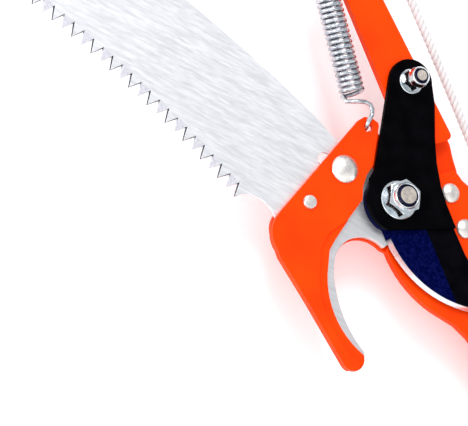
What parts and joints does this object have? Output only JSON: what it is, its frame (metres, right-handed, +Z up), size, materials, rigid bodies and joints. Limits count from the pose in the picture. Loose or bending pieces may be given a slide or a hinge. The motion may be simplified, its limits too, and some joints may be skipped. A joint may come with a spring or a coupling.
{
  "type": "telescoping pole saw",
  "caption": "Telescoping pole saw: curved pruning saw and rope-pulled bypass cutter with return spring on a flip-lock pole, lying flat with its rope in a hank.",
  "frame": {"origin": "on the pole's axis at the centre of the hanging hole in the end cap", "axes": "+X along the pole axis, from the cutting head to the grip end and on; +Y is the pull rope's side, the hook and the saw are on -Y; +Z is up as the tool lies flat, and the cutter's pivot bolt points along it"},
  "size_m": [1.5133, 0.3514, 0.047],
  "materials": {
    "orange_enamel": "gloss enamel, orange",
    "plain_steel": "brushed",
    "zinc": "bright zinc plate",
    "rivet_steel": "plain rivet",
    "black_coat": "black non-stick coating",
    "alloy_tube": "anodised",
    "black_plastic": "textured",
    "orange_plastic": "moulded",
    "grip_rubber": "ribbed",
    "rope_white": "braided polyester cord"
  },
  "bodies": {
    "head": {"back_plate": "orange_enamel", "cheek_plate": "orange_enamel", "counter_blade": "plain_steel", "hook_cover": "orange_enamel", "frame_rivets": "rivet_steel", "socket_sleeve": "orange_enamel", "socket_screws": "zinc", "saw_blade": "plain_steel", "saw_bolt": "rivet_steel", "saw_washer": "zinc", "saw_pin": "rivet_steel", "pivot_bolt": "zinc", "pivot_bush": "plain_steel", "pivot_washer": "zinc", "pivot_nut": "zinc", "rope_anchor": "rivet_steel", "rope_eye": "rope_white", "inner_tube": "alloy_tube", "inner_bush": "black_plastic", "pull_rope": "rope_white", "rope_standing_part": "rope_white", "rope_hank": "rope_white", "rope_tail": "rope_white", "hank_tie": "black_plastic", "rope_handle": "orange_plastic"},
    "cutter": {"cutter_blade": "black_coat", "lever_plate": "black_coat", "lever_arm": "orange_enamel", "arm_bolt": "zinc", "arm_washer": "zinc", "arm_spring_washer": "zinc", "arm_nut": "zinc", "pulley_pin": "rivet_steel", "rope_bight": "rope_white"},
    "pulley": {"rope_pulley": "black_plastic"},
    "spring": {"return_spring": "zinc"},
    "spring_top": {"spring_hook": "zinc"},
    "wing_nut": {"wing_nut": "zinc"},
    "middle": {"mid_tube": "alloy_tube", "mid_bush": "black_plastic", "mid_collar": "black_plastic", "mid_lock_pin": "zinc"},
    "middle_lock": {"mid_lock_lever": "orange_plastic"},
    "outer": {"outer_tube": "alloy_tube", "outer_collar": "black_plastic", "outer_lock_pin": "zinc", "front_grip": "grip_rubber", "rear_grip": "grip_rubber", "end_cap": "black_plastic"},
    "outer_lock": {"outer_lock_lever": "orange_plastic"}
  },
  "joints": [
    {"name": "cutter_pivot", "type": "hinge", "parent": "head", "child": "cutter", "pos_m": [-1.2, -0.0265, 0.0025], "axis": [0, 0, 1], "range_deg": [-64, 0], "stiffness_Nm_per_rad": 1.2, "springref_deg": 34.38},
    {"name": "spring_swing", "type": "hinge", "parent": "head", "child": "spring", "pos_m": [-1.232, -0.0253, 0.0049], "axis": [0, 0, 1], "range_deg": [-78, 0], "deforming": ["return_spring"]},
    {"name": "spring_stretch", "type": "slide", "parent": "spring", "child": "spring_top", "axis": [-0.981, 0.194, 0], "range_m": [0, 0.0262], "deforming": ["spring_hook"]},
    {"name": "pulley_spin", "type": "hinge", "parent": "cutter", "child": "pulley", "pos_m": [-1.35, 0.006, -0.0008], "axis": [0, 0, 1], "continuous": true},
    {"name": "wing_nut_turn", "type": "hinge", "parent": "head", "child": "wing_nut", "pos_m": [-1.2196, -0.0428, -0.0065], "axis": [0, 0, 1], "continuous": true},
    {"name": "middle_slide", "type": "slide", "parent": "head", "child": "middle", "axis": [1, 0, 0], "range_m": [0, 0.85]},
    {"name": "outer_slide", "type": "slide", "parent": "middle", "child": "outer", "axis": [1, 0, 0], "range_m": [0, 0.85]},
    {"name": "middle_lock_flip", "type": "hinge", "parent": "middle", "child": "middle_lock", "pos_m": [-1.0315, 0, 0.022], "axis": [0, -1, 0], "range_deg": [0, 100]},
    {"name": "outer_lock_flip", "type": "hinge", "parent": "outer", "child": "outer_lock", "pos_m": [-0.9765, 0, 0.0234], "axis": [0, -1, 0], "range_deg": [0, 100]}
  ],
  "couplings": [
    {"joint": "spring_swing", "follows": "cutter_pivot", "ratio": 1.198},
    {"joint": "spring_stretch", "follows": "cutter_pivot", "m_per_rad": -0.0227}
  ]
}
